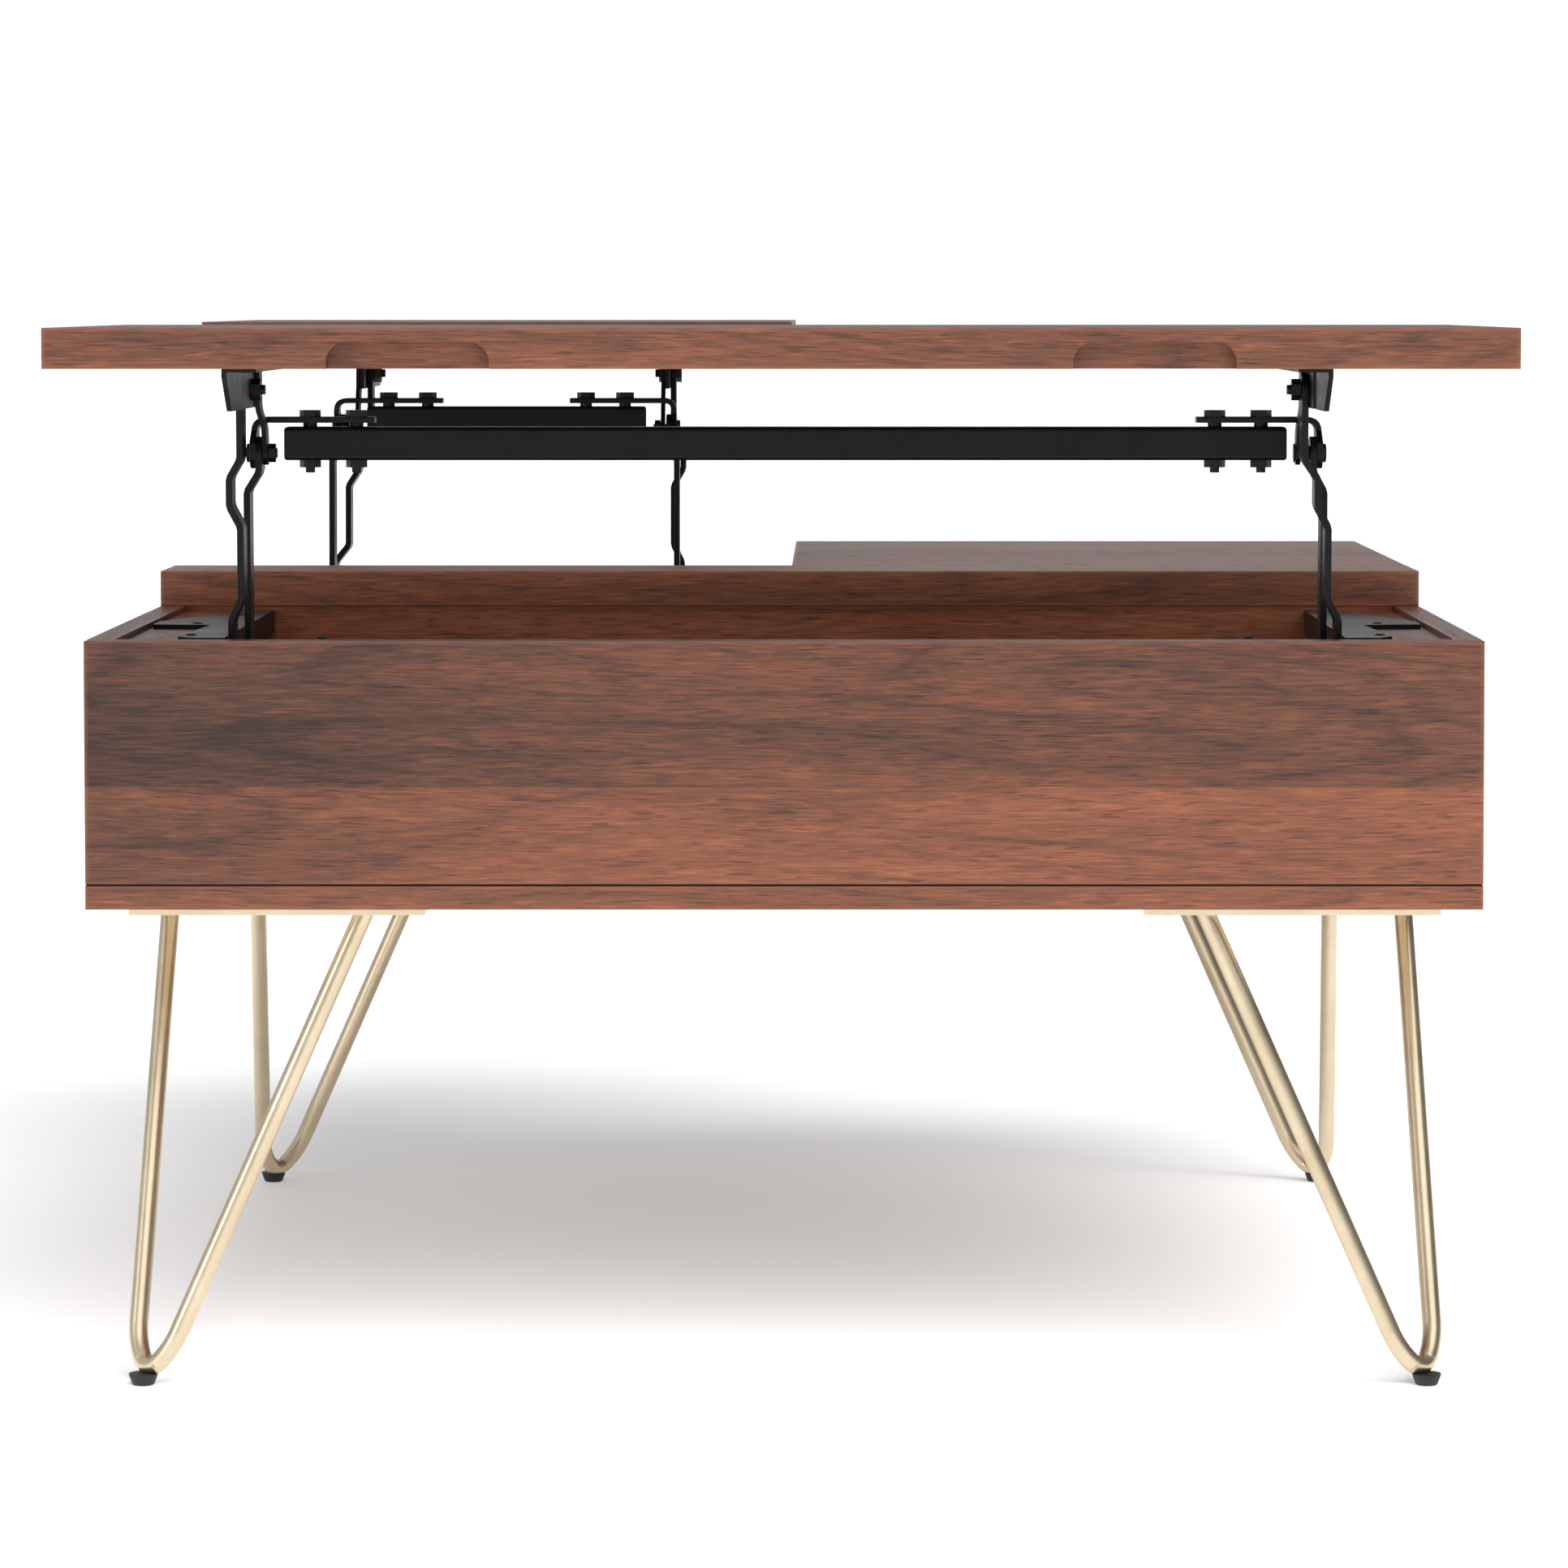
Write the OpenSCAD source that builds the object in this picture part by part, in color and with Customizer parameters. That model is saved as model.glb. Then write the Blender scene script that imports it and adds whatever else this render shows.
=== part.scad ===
// Lift top coffee table: a square wooden box on four hairpin legs. The front half
// of the top and the left half of the rear top are lids that rise on parallel arms.
// Origin on the floor under the middle of the box, X to the right, front is -Y, Z up.
// Drawn with both lids raised. All sizes in millimetres.

/* [Box] */
// Width of the box, left to right
box_w = 914; // [700:1:1200]
// Depth of the box, front to back
box_d = 914; // [700:1:1200]
// Height of the side panels above the bottom board
panel_h = 160; // [110:1:260]
// Thickness of the side panels
panel_t = 18; // [12:0.5:25]
// Thickness of the bottom board
bottom_t = 16; // [10:0.5:25]
// Thickness of the dividers inside the box
divider_t = 18; // [12:0.5:25]
// Depth of the V groove along the seam between the side panels and the bottom board
groove = 0.7; // [0.3:0.1:2]

/* [Top] */
// Thickness of the lids, the centre strip and the fixed top panel
top_t = 25.4; // [18:0.1:32]
// Depth of the fixed strip between the front and rear lids
strip_d = 89; // [60:1:160]
// How far the centre strip overhangs each divider
strip_lap = 3.5; // [0:0.5:10]
// Gap between neighbouring top pieces
top_gap = 1.5; // [0.8:0.1:4]
// Gap left under a closed lid
lid_gap = 0.4; // [0.2:0.1:2]
// Width of each finger recess in the front lid
recess_w = 101; // [60:1:140]
// Height of each finger recess
recess_h = 16.6; // [8:0.1:20]
// Depth of each finger recess
recess_d = 15; // [6:0.5:22]
// Distance of the finger recesses from the middle
recess_x = 231; // [120:1:330]

/* [Legs] */
// Clear height under the box
leg_h = 319.4; // [200:0.1:420]
// Diameter of the hairpin rod
rod_d = 12.7; // [8:0.1:16]
// Radius of the tight bend at the foot, at the middle of the rod
bend_r = 12; // [8:0.5:30]
// Angle that the tight bend turns to either side of its lowest point
bend_turn = 45; // [20:1:60]
// Radius of the slow bends that lead from the tight one into the straight rods
sweep_r = 52; // [30:1:120]
// Thickness of the leg plates
plate_t = 6.5; // [2:0.5:8]
// Outer edge of the leg plates from the middle of the table
plate_out = 432; // [380:1:450]
// Inner end of the leg plates from the middle of the table
plate_in = 237; // [180:1:330]
// Width of the leg plate at its ends
plate_w = 26; // [18:1:50]
// Lowest point of the hairpin from the middle of the table, in X and in Y
foot_at = 421.4; // [350:0.1:440]
// Middle of the foot cap from the middle of the table, in X and in Y
cap_at = 425; // [350:0.1:440]
// Rod top near the corner, from the middle of the table
rod_outer = 421.8; // [350:0.1:440]
// Rod top away from the corner, from the middle of the table
rod_inner = 278; // [200:1:360]
// Diameter of the foot cap at its rim
foot_d = 19; // [14:0.5:40]
// Height of the foot cap
foot_h = 7.6; // [5:0.1:20]
// How deep the rod bend sits in the foot cap
rod_sink = 1.8; // [0.5:0.1:6]

/* [Lift geometry] */
// Distance between the two pivots of an arm
arm_len = 176.5; // [120:0.5:220]
// Arm angle with the lid raised, measured from lying flat towards the middle
raised_angle = 91.9; // [80:0.1:100]
// Arm angle with the lid closed
closed_angle = -0.9; // [-10:0.1:10]
// Front to back position of the upper arm pivot on the base
pivot_y = -397; // [-425:1:-360]
// Depth of the upper lid pivot below the lid
pivot_drop = 16.6; // [13:0.1:25]
// Offset from the upper to the lower pivot, towards the middle
pair_y = 44; // [30:1:70]
// Offset from the upper to the lower pivot, downwards
pair_z = 43; // [30:1:70]
// Middle of the rear left lift unit, in X
rear_x = -229; // [-235:1:-215]

/* [Arms] */
// Width of the flat bar used for the arms
bar_w = 22; // [14:0.5:28]
// Thickness of the flat bar
bar_t = 4.4; // [3:0.1:6]
// Diameter of the pivot bolts and studs
pin_d = 6.4; // [5:0.1:10]
// Diametral clearance of the running pivots
run_gap = 0.1; // [0.04:0.01:0.2]
// Diametral clearance of the loose pivots that close each linkage
loose_gap = 0.7; // [0.6:0.05:1.2]
// Side clearance between moving faces
face_gap = 0.3; // [0.3:0.05:1]
// Heights of the bends in an upper arm above its base pivot
upper_bends = [24.6, 38.2, 85.9, 99.6, 118.1, 130.8];
// Heights of the bends in a lower arm above its base pivot
lower_bends = [151.2, 164.3];

/* [Front left stack] */
// Outward position of the base bracket face
fl_base = 370.5; // [300:0.1:400]
// Upper arm positions: bottom, middle, jog and top
fl_a = [365.8, 359.4, 366.6, 359.4];
// Lower arm positions: bottom and top
fl_b = [359.4, 351.3];
// Middle of the lid bracket web
fl_web = 353.6; // [300:0.1:400]
// Drop link positions: top and bottom
fl_link = [350.4, 347.2];

/* [Front right stack] */
// Outward position of the base bracket face
fr_base = 370.5; // [300:0.1:400]
// Upper arm positions: bottom, middle, jog and top
fr_a = [365.9, 358.8, 351.7, 343];
// Lower arm positions: bottom and top
fr_b = [359.6, 352.5];
// Middle of the lid bracket web
fr_web = 347.2; // [300:0.1:400]
// Drop link positions: top and bottom
fr_link = [344, 342.4];

/* [Rear left lid, outer stack] */
// Outward position of the base bracket face
ro_base = 148.3; // [120:0.1:160]
// Upper arm positions: bottom, middle, jog and top
ro_a = [140.4, 129.5, 120.8, 111.8];
// Lower arm positions: bottom and top
ro_b = [138.8, 130.2];
// Middle of the lid bracket web
ro_web = 116.1; // [90:0.1:150]
// Drop link positions: top and bottom
ro_link = [119.3, 119.3];

/* [Rear left lid, inner stack] */
// Outward position of the base bracket face
ri_base = 148.3; // [120:0.1:160]
// Upper arm positions: bottom, middle, jog and top
ri_a = [138.5, 131.8, 139.6, 131.8];
// Lower arm positions: bottom and top
ri_b = [135.6, 129.4];
// Middle of the lid bracket web
ri_web = 127.6; // [90:0.1:150]
// Drop link positions: top and bottom
ri_link = [124.4, 124.4];

/* [Crossbars] */
// Outer size of the square crossbar tube
tube = 22.3; // [15:0.1:30]
// Wall of the crossbar tube
tube_wall = 2; // [1:0.1:4]
// Half length of the front crossbar
front_bar_end = 335; // [250:1:345]
// Outer end of the rear left crossbar from the middle of its lift unit
rear_bar_outer = 110; // [80:1:112]
// Inner end of the rear left crossbar from the middle of its lift unit
rear_bar_inner = 111; // [80:1:115]
// Thickness of the tie plates
tie_t = 4; // [3:0.1:6]
// Height of the tie plates above the lower lid pivots
tie_rise = 22; // [20:0.1:22.5]
// Length of the tie plates along the crossbar
tie_len = 60; // [40:1:90]
// Distance from the end of a crossbar to its first bolt
bolt_end = 16.5; // [10:0.5:30]
// Distance between the two bolts at one end of a crossbar
bolt_step = 31; // [20:0.5:45]

/* [Bolts] */
// Diameter of the crossbar bolts
bolt_d = 6.4; // [5:0.1:10]
// Size across flats of the large hexagons
hex_big = 12.4; // [8:0.1:16]
// Size across flats of the small hexagons
hex_small = 10.8; // [8:0.1:14]
// Height of the large bolt heads
head_h = 4; // [2:0.1:8]
// Height of the nuts
nut_h = 6; // [3:0.1:8]
// Diameter of the shoulders on the base studs
shoulder_d = 12; // [9:0.5:16]
// Diameter of the spacers on the crossbar and link bolts
spacer_d = 9.5; // [8:0.1:14]
// Shank diameter of the wood screws
screw_d = 4; // [3:0.1:6]
// Head diameter of the wood screws
screw_head = 8.4; // [6:0.1:12]
// Head height of the wood screws
screw_rise = 1; // [0.6:0.1:3]
// Length of the wood screws below the head
screw_len = 13; // [8:0.5:20]

/* [Rails] */
// Thickness of the rails that carry the base brackets
rail_t = 18; // [12:0.5:25]
// Height of the rails
rail_h = 84; // [60:1:120]
// Distance of the rail top below the box rim
rail_drop = 4; // [3.5:0.1:12]
// Outward reach of the bracket ears on the front rails
front_ear = 65.5; // [40:0.5:67]
// Outward reach of the bracket ears on the rear rails
rear_ear = 56; // [40:0.5:60]
// Thickness of the sheet used for the brackets
sheet = 3.2; // [2:0.1:5]

/* [Bumpers] */
// Width of the lid bumpers
bumper_w = 5.8; // [4:0.1:12]
// Distance of the front bumpers from the middle
bumper_x = 306; // [200:1:330]
// Distance of the rear bumpers from the middle of the rear lift unit
rear_bumper_x = 88.3; // [40:0.1:100]
// Reach of the bumpers from the panel they are fixed to
bumper_len = 34; // [20:1:60]

/* [Hidden] */
$fn = 48;

wood = [0.52, 0.31, 0.23];
black = [0.07, 0.07, 0.075];
gold = [0.68, 0.61, 0.49];
rubber = [0.04, 0.04, 0.04];

hw = box_w / 2;
hd = box_d / 2;
panel_z = leg_h + bottom_t;
rim_z = panel_z + panel_h;
lid_d = hd - strip_d / 2 - top_gap;
divider_y = strip_d / 2 - strip_lap;

// Lift geometry, worked out for the front unit and turned round for the rear one
closed_lid_z = rim_z + lid_gap;
lid_rise = arm_len * (sin(raised_angle) - sin(closed_angle));
lid_run = arm_len * (cos(closed_angle) - cos(raised_angle));
lid_z = closed_lid_z + lid_rise;
upper_lid = [pivot_y + arm_len * cos(raised_angle), lid_z - pivot_drop];
upper_base = [pivot_y, upper_lid[1] - arm_len * sin(raised_angle)];
lower_lid = upper_lid + [pair_y, -pair_z];
lower_base = upper_base + [pair_y, -pair_z];
lean = raised_angle - 90;
tie_z = lower_lid[1] + tie_rise;
tube_y = lower_lid[0] + 8;
tube_z = lower_lid[1] + 6.2;
web_back = lower_lid[0] - 9;
web_front = web_back - 188;
web_h = 28.5;
flange_in = 22;
stop_r = 4;
link_nut = 4.6;
link_head = 1;
eye_r = 8;

rod_r = rod_d / 2;
plate_z = leg_h - plate_t;
foot_axis_z = foot_h + rod_r - rod_sink;
leg_half = (rod_outer - rod_inner) * sqrt(2) / 2;
leg_mid = (rod_outer + rod_inner) / 2;
leg_run = (foot_at - leg_mid) * sqrt(2);
leg_rise = plate_z - foot_axis_z;
leg_tilt = atan2(leg_run, leg_rise);
sweep_at = (sweep_r - bend_r) * [-sin(bend_turn), cos(bend_turn)] + [0, bend_r];
leg_top = [leg_half, norm([leg_run, leg_rise])] - sweep_at;
leg_splay = acos(sweep_r / norm(leg_top)) - atan2(leg_top[1], leg_top[0]);
bend_thinning = 0.1;
bend_overlap = 1;

// Bent flat bar outline: a line of points given an even thickness. Each bend is eased
// over a distance c to either side, in a number of steps.
function unit(v) = v / norm(v);
function side(v) = [-v[1], v[0]];
function before(p, i) = unit(i > 0 ? p[i] - p[i - 1] : p[1] - p[0]);
function after(p, i) = unit(i < len(p) - 1 ? p[i + 1] - p[i] : p[i] - p[i - 1]);
function across(p, i) = unit(side(before(p, i)) + side(after(p, i)));
function edge(p, i, d) = p[i] + across(p, i) * d / (across(p, i) * side(before(p, i)));
function ribbon(p, t) = concat([for (i = [0 : len(p) - 1]) edge(p, i, t / 2)],
    [for (i = [len(p) - 1 : -1 : 0]) edge(p, i, -t / 2)]);
function eased(p, c, steps) = [p[0], for (i = [1 : len(p) - 2], k = [0 : steps])
    p[i] + unit(p[i - 1] - p[i]) * c * pow(1 - k / steps, 2)
    + unit(p[i + 1] - p[i]) * c * pow(k / steps, 2), p[len(p) - 1]];

// Drawn in X and Z, given depth in Y, centred on Y = 0
module xz(depth) { rotate([90, 0, 0]) linear_extrude(depth, center = true) children(); }
// Drawn in Y and Z, given depth in X from x = 0
module yz(depth) { rotate([90, 0, 90]) linear_extrude(depth) children(); }
// Round bar along X between two positions, at a point in Y and Z
module pin(at, from, to, d) {
    translate([min(from, to), at[0], at[1]]) rotate([0, 90, 0])
        cylinder(h = abs(to - from), d = d);
}
// Six sided head or nut along X
module hex(at, from, to, flats) {
    translate([min(from, to), at[0], at[1]]) rotate([0, 90, 0])
        cylinder(h = abs(to - from), d = flats / cos(30), $fn = 6);
}
module hex_nut(at, from, to, flats, bore) {
    difference() {
        hex(at, from, to, flats);
        pin(at, min(from, to) - 1, max(from, to) + 1, bore);
    }
}
// The rear left lift unit is the front one turned half a turn
module rear_unit() { translate([rear_x, 0, 0]) rotate([0, 0, 180]) children(); }
module left_side() { mirror([1, 0, 0]) children(); }

// ---- box ----
module v_groove(length) {
    rotate([0, 90, 0]) linear_extrude(length, center = true)
        polygon([[-groove, -0.2], [0, groove], [groove, -0.2]]);
}
module seam_groove() {
    for (turn = [0, 180]) rotate([0, 0, turn]) {
        translate([0, -hd, panel_z]) v_groove(box_w + 2);
        translate([-hw, 0, panel_z]) rotate([0, 0, -90]) v_groove(box_d + 2);
    }
}
module long_panel() {
    difference() {
        translate([-hw, -hd, panel_z]) cube([box_w, panel_t, panel_h]);
        seam_groove();
    }
}
module side_panel() {
    difference() {
        translate([-hw, -hd + panel_t, panel_z])
            cube([panel_t, box_d - 2 * panel_t, panel_h]);
        seam_groove();
    }
}
module front_panel() { color(wood) long_panel(); }
module back_panel() { color(wood) rotate([0, 0, 180]) long_panel(); }
module left_panel() { color(wood) side_panel(); }
module right_panel() { color(wood) rotate([0, 0, 180]) side_panel(); }
module bottom_board() {
    color(wood) difference() {
        translate([-hw, -hd, leg_h]) cube([box_w, box_d, bottom_t]);
        seam_groove();
        leg_screw_places() cylinder(h = screw_len, d = screw_d + 0.2);
    }
}
module long_divider() {
    translate([-hw + panel_t, -divider_y, panel_z])
        cube([box_w - 2 * panel_t, divider_t, panel_h]);
}
module front_divider() { color(wood) long_divider(); }
module rear_divider() { color(wood) rotate([0, 0, 180]) long_divider(); }
module centre_divider() {
    color(wood) translate([-divider_t / 2, divider_y, panel_z])
        cube([divider_t, hd - panel_t - divider_y, panel_h]);
}

// ---- top ----
module centre_strip() {
    color(wood) translate([-hw, -strip_d / 2, rim_z]) cube([box_w, strip_d, top_t]);
}
module fixed_top_panel() {
    color(wood) translate([top_gap / 2, strip_d / 2 + top_gap, rim_z])
        cube([hw - top_gap / 2, lid_d, top_t]);
}
module recess_shape() {
    corner = 12.5;
    half = recess_w / 2;
    union() {
        translate([-half, -1]) square([recess_w, recess_h - corner + 1]);
        translate([corner - half, -1]) square([recess_w - 2 * corner, recess_h + 1]);
        for (s = [-1, 1]) translate([s * (half - corner), recess_h - corner]) circle(corner);
    }
}
// Lid board in the raised place; x0 and x1 are its left and right edges
module lid_board(x0, x1) {
    translate([x0, -hd - lid_run, lid_z]) cube([x1 - x0, lid_d, top_t]);
}
module front_lid() {
    color(wood) difference() {
        lid_board(-hw, hw);
        for (s = [-1, 1])
            translate([s * recess_x, -hd - lid_run, lid_z]) xz(2 * recess_d) recess_shape();
        lid_screw_places(fr_web, 1) cylinder(h = screw_len, d = screw_d + 0.2);
        left_side() lid_screw_places(fl_web, 1) cylinder(h = screw_len, d = screw_d + 0.2);
    }
}
module rear_lid() {
    color(wood) rear_unit() difference() {
        lid_board(top_gap / 2 + rear_x, hw + rear_x);
        lid_screw_places(ro_web, 1) cylinder(h = screw_len, d = screw_d + 0.2);
        left_side() lid_screw_places(ri_web, 1) cylinder(h = screw_len, d = screw_d + 0.2);
    }
}

// ---- rails ----
// L shaped rail from its inner face out to a wall, drawn on the right hand side
module rail(face, wall) {
    difference() {
        union() {
            translate([face, -hd + panel_t, rim_z - rail_drop - rail_t])
                cube([wall - face, hd - panel_t - divider_y, rail_t]);
            translate([face, -hd + panel_t, rim_z - rail_drop - rail_h])
                cube([rail_t, hd - panel_t - divider_y, rail_h - rail_t + 0.01]);
        }
        base_screw_places(face - sheet) translate([0, 0, -screw_len])
            cylinder(h = screw_len + 1, d = screw_d + 0.2);
    }
}
module front_left_rail() { color(wood) left_side() rail(fl_base + sheet, hw - panel_t); }
module front_right_rail() { color(wood) rail(fr_base + sheet, hw - panel_t); }
module rear_outer_rail() {
    color(wood) rear_unit() rail(ro_base + sheet, hw - panel_t + rear_x);
}
module rear_inner_rail() {
    color(wood) rear_unit() left_side() rail(ri_base + sheet, -rear_x - divider_t / 2);
}

// ---- legs ----
// One hairpin standing on the origin in the X Z plane, then leaned towards the middle.
// Each bend is a hair thinner than the piece above it, which runs a little way into it.
module rod_arc(radius, from, to, r) {
    rotate([90, 0, 0]) rotate([0, 0, from - 90]) rotate_extrude(angle = to - from)
        translate([radius, 0]) circle(r);
}
module hairpin_side(r) {
    lap = bend_overlap / sweep_r * 180 / PI;
    translate([sweep_at[0], 0, sweep_at[1]]) {
        rod_arc(sweep_r, bend_turn - lap, 90 - leg_splay, r - bend_thinning);
        translate([sweep_r * cos(leg_splay), 0, -sweep_r * sin(leg_splay)])
            rotate([0, leg_splay, 0]) translate([0, 0, -bend_overlap])
                cylinder(h = norm(leg_top) + 40, r = r);
    }
}
module hairpin(r) {
    rotate([leg_tilt, 0, 0]) {
        translate([0, 0, bend_r]) rod_arc(bend_r, -bend_turn, bend_turn, r - 2 * bend_thinning);
        hairpin_side(r);
        mirror([1, 0, 0]) hairpin_side(r);
    }
}
module at_corner(sx, sy) {
    turn = sx > 0 ? (sy > 0 ? -45 : -135) : (sy > 0 ? 45 : 135);
    translate([sx * foot_at, sy * foot_at, foot_axis_z]) rotate([0, 0, turn]) children();
}
module leg_rod(sx, sy) {
    color(gold) difference() {
        at_corner(sx, sy) hairpin(rod_r);
        translate([-box_w, -box_d, plate_z]) cube([2 * box_w, 2 * box_d, 200]);
    }
}
module leg_rod_front_left() { leg_rod(-1, -1); }
module leg_rod_front_right() { leg_rod(1, -1); }
module leg_rod_rear_left() { leg_rod(-1, 1); }
module leg_rod_rear_right() { leg_rod(1, 1); }

module plate_shape() {
    polygon([[plate_out, plate_out], [plate_in, plate_out],
        [plate_in, plate_out - plate_w], [plate_out - plate_w, plate_in],
        [plate_out, plate_in]]);
}
// Screw centres on one leg plate: one at each end, one along each arm, one at the corner
module plate_screws() {
    near = plate_out - plate_w / 2;
    end = plate_in + 16;
    along = plate_in + 88;
    inset = near - 6;
    corner = near - 14;
    for (p = [[end, near], [along, inset], [corner, corner], [inset, along], [near, end]])
        translate([p[0], p[1], leg_h]) children();
}
module at_plate(sx, sy) {
    mirror([sx < 0 ? 1 : 0, 0, 0]) mirror([0, sy < 0 ? 1 : 0, 0]) children();
}
module leg_screw_places() {
    for (sx = [-1, 1], sy = [-1, 1]) at_plate(sx, sy) plate_screws() children();
}
module leg_plate(sx, sy) {
    color(gold) at_plate(sx, sy) difference() {
        translate([0, 0, plate_z]) linear_extrude(plate_t) plate_shape();
        plate_screws() translate([0, 0, -plate_t - 1])
            cylinder(h = plate_t + 2, d = screw_d + 0.2);
    }
}
module leg_plate_front_left() { leg_plate(-1, -1); }
module leg_plate_front_right() { leg_plate(1, -1); }
module leg_plate_rear_left() { leg_plate(-1, 1); }
module leg_plate_rear_right() { leg_plate(1, 1); }
module leg_screws() {
    depth = screw_len - 3;
    rise = screw_rise + 0.4;
    color(gold) leg_screw_places() {
        translate([0, 0, -plate_t]) cylinder(h = plate_t + depth, d = screw_d);
        translate([0, 0, -plate_t - rise])
            cylinder(h = rise, d1 = screw_head - 2, d2 = screw_head);
    }
}
module foot_caps() {
    tread = 1;
    lip = 1.2;
    base_d = foot_d - 4;
    color(rubber) for (sx = [-1, 1], sy = [-1, 1]) difference() {
        translate([sx * cap_at, sy * cap_at, 0]) union() {
            cylinder(h = tread, d1 = base_d - 2 * tread, d2 = base_d);
            translate([0, 0, tread]) cylinder(h = foot_h - tread - lip, d1 = base_d, d2 = foot_d);
            translate([0, 0, foot_h - lip]) cylinder(h = lip, d = foot_d);
        }
        at_corner(sx, sy) hairpin(rod_r + bend_thinning);
    }
}

// ---- bumpers ----
// Finger fixed to the inside of the front panel with a small block on its far end
module bumper() {
    finger_h = 13;
    block_h = 3;
    finger_z = rim_z - block_h - finger_h;
    translate([-bumper_w / 2, -hd + panel_t, finger_z]) cube([bumper_w, bumper_len, finger_h]);
    translate([-bumper_w / 2, -hd + panel_t + bumper_len - bumper_w - 2, rim_z - block_h - 0.01])
        cube([bumper_w, bumper_w, block_h + 0.01 + lid_gap - 0.1]);
}
module lid_bumpers() {
    color(rubber) {
        for (s = [-1, 1]) translate([s * bumper_x, 0, 0]) bumper();
        rear_unit() for (s = [-1, 1]) translate([s * rear_bumper_x, 0, 0]) bumper();
    }
}

// ---- base brackets ----
// Screw centres on a base bracket: outward from its face, and front to back
base_screws_at = [[25.5, -379], [36.5, -247], [17.5, -141]];
module base_screw_places(base) {
    for (p = base_screws_at) translate([base + p[0], p[1], rim_z - rail_drop]) children();
}
// Upright web with a flange on the rail; the ear is the widest place of the flange
module base_bracket(base, ear) {
    rail_z = rim_z - rail_drop;
    front = -410;
    back = -82;
    ear_front = -258;
    ear_back = -222;
    foot_z = lower_base[1] - 14;
    color(black) difference() {
        union() {
            translate([base, 0, 0]) yz(sheet) polygon([[front, rail_z + sheet],
                [front, upper_base[1] - 18], [lower_base[0] - 22, foot_z],
                [lower_base[0] + 14, foot_z], [-300, rail_z - 34], [back, rail_z - 12],
                [back, rail_z + sheet]]);
            translate([base, 0, rail_z]) linear_extrude(sheet)
                polygon([[0, front], [22, front], [32.5, front + 17], [25.5, ear_front - 6],
                    [ear, ear_front], [ear, ear_back], [29.5, back - 34], [sheet, back],
                    [0, back]]);
            stop_pin(base);
        }
        for (p = [upper_base, lower_base]) pin(p, base - 1, base + sheet + 1, pin_d + 0.1);
        base_screw_places(base) translate([0, 0, -1])
            cylinder(h = sheet + 2, d = screw_d + 0.2);
    }
}
// Pin that stops the lower arm once it has passed upright
module stop_pin(base) {
    reach = bar_w / 2 + stop_r + face_gap;
    up = 9;
    inward = 13.6;
    at = lower_base + [-reach * cos(lean) - up * sin(lean), up * cos(lean) - reach * sin(lean)];
    pin(at, base - inward, base + 0.1, 2 * stop_r);
}
module front_base_left() { left_side() base_bracket(fl_base, front_ear); }
module front_base_right() { base_bracket(fr_base, front_ear); }
module rear_base_outer() { rear_unit() base_bracket(ro_base, rear_ear); }
module rear_base_inner() { rear_unit() left_side() base_bracket(ri_base, rear_ear); }

// Shouldered stud that carries the foot of an arm
module stud(at, base, arm) {
    outer = arm + bar_t / 2 + face_gap;
    inner = arm - bar_t / 2 - face_gap;
    color(black) union() {
        pin(at, inner, base + sheet, pin_d);
        pin(at, outer, base, shoulder_d);
        hex(at, inner - head_h, inner, hex_big);
    }
}
module side_studs(base, a, b) {
    stud(upper_base, base, a[0]);
    stud(lower_base, base, b[0]);
}
module front_studs() {
    left_side() side_studs(fl_base, fl_a, fl_b);
    side_studs(fr_base, fr_a, fr_b);
}
module rear_studs() {
    rear_unit() {
        side_studs(ro_base, ro_a, ro_b);
        left_side() side_studs(ri_base, ri_a, ri_b);
    }
}
module side_base_screws(base) {
    base_screw_places(base) {
        translate([0, 0, -screw_len]) cylinder(h = screw_len + sheet, d = screw_d);
        translate([0, 0, sheet])
            cylinder(h = screw_rise, d1 = screw_head, d2 = screw_head - 3);
    }
}
module base_screws() {
    color(black) {
        left_side() side_base_screws(fl_base);
        side_base_screws(fr_base);
        rear_unit() {
            side_base_screws(ro_base);
            left_side() side_base_screws(ri_base);
        }
    }
}

// ---- arms ----
module bar_side() {
    union() {
        translate([-bar_w / 2, 0]) square([bar_w, arm_len]);
        circle(bar_w / 2);
        translate([0, arm_len]) circle(bar_w / 2);
    }
}
// Flat bar bent along the given line, lying on its base pivot and leaned forward
module arm(foot, path, foot_gap, head_gap) {
    color(black) translate([0, foot[0], foot[1]]) rotate([lean, 0, 0]) difference() {
        intersection() {
            xz(2 * bar_w) polygon(ribbon(eased(path, 1.5, 1), bar_t));
            translate([50, 0, 0]) yz(400) bar_side();
        }
        pin([0, 0], 50, 450, pin_d + foot_gap);
        pin([0, arm_len], 50, 450, pin_d + head_gap);
    }
}
module upper_arm(a, head_gap) {
    h = upper_bends;
    arm(upper_base, [[a[0], -bar_w], [a[0], h[0]], [a[1], h[1]], [a[1], h[2]], [a[2], h[3]],
        [a[2], h[4]], [a[3], h[5]], [a[3], arm_len + bar_w]], run_gap, head_gap);
}
module lower_arm(b) {
    h = lower_bends;
    arm(lower_base, [[b[0], -bar_w], [b[0], h[0]], [b[1], h[1]], [b[1], arm_len + bar_w]],
        run_gap, run_gap);
}
module front_upper_arm_left() { left_side() upper_arm(fl_a, run_gap); }
module front_upper_arm_right() { upper_arm(fr_a, loose_gap); }
module front_lower_arm_left() { left_side() lower_arm(fl_b); }
module front_lower_arm_right() { lower_arm(fr_b); }
module rear_upper_arm_outer() { rear_unit() upper_arm(ro_a, run_gap); }
module rear_upper_arm_inner() { rear_unit() left_side() upper_arm(ri_a, loose_gap); }
module rear_lower_arm_outer() { rear_unit() lower_arm(ro_b); }
module rear_lower_arm_inner() { rear_unit() left_side() lower_arm(ri_b); }

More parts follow.
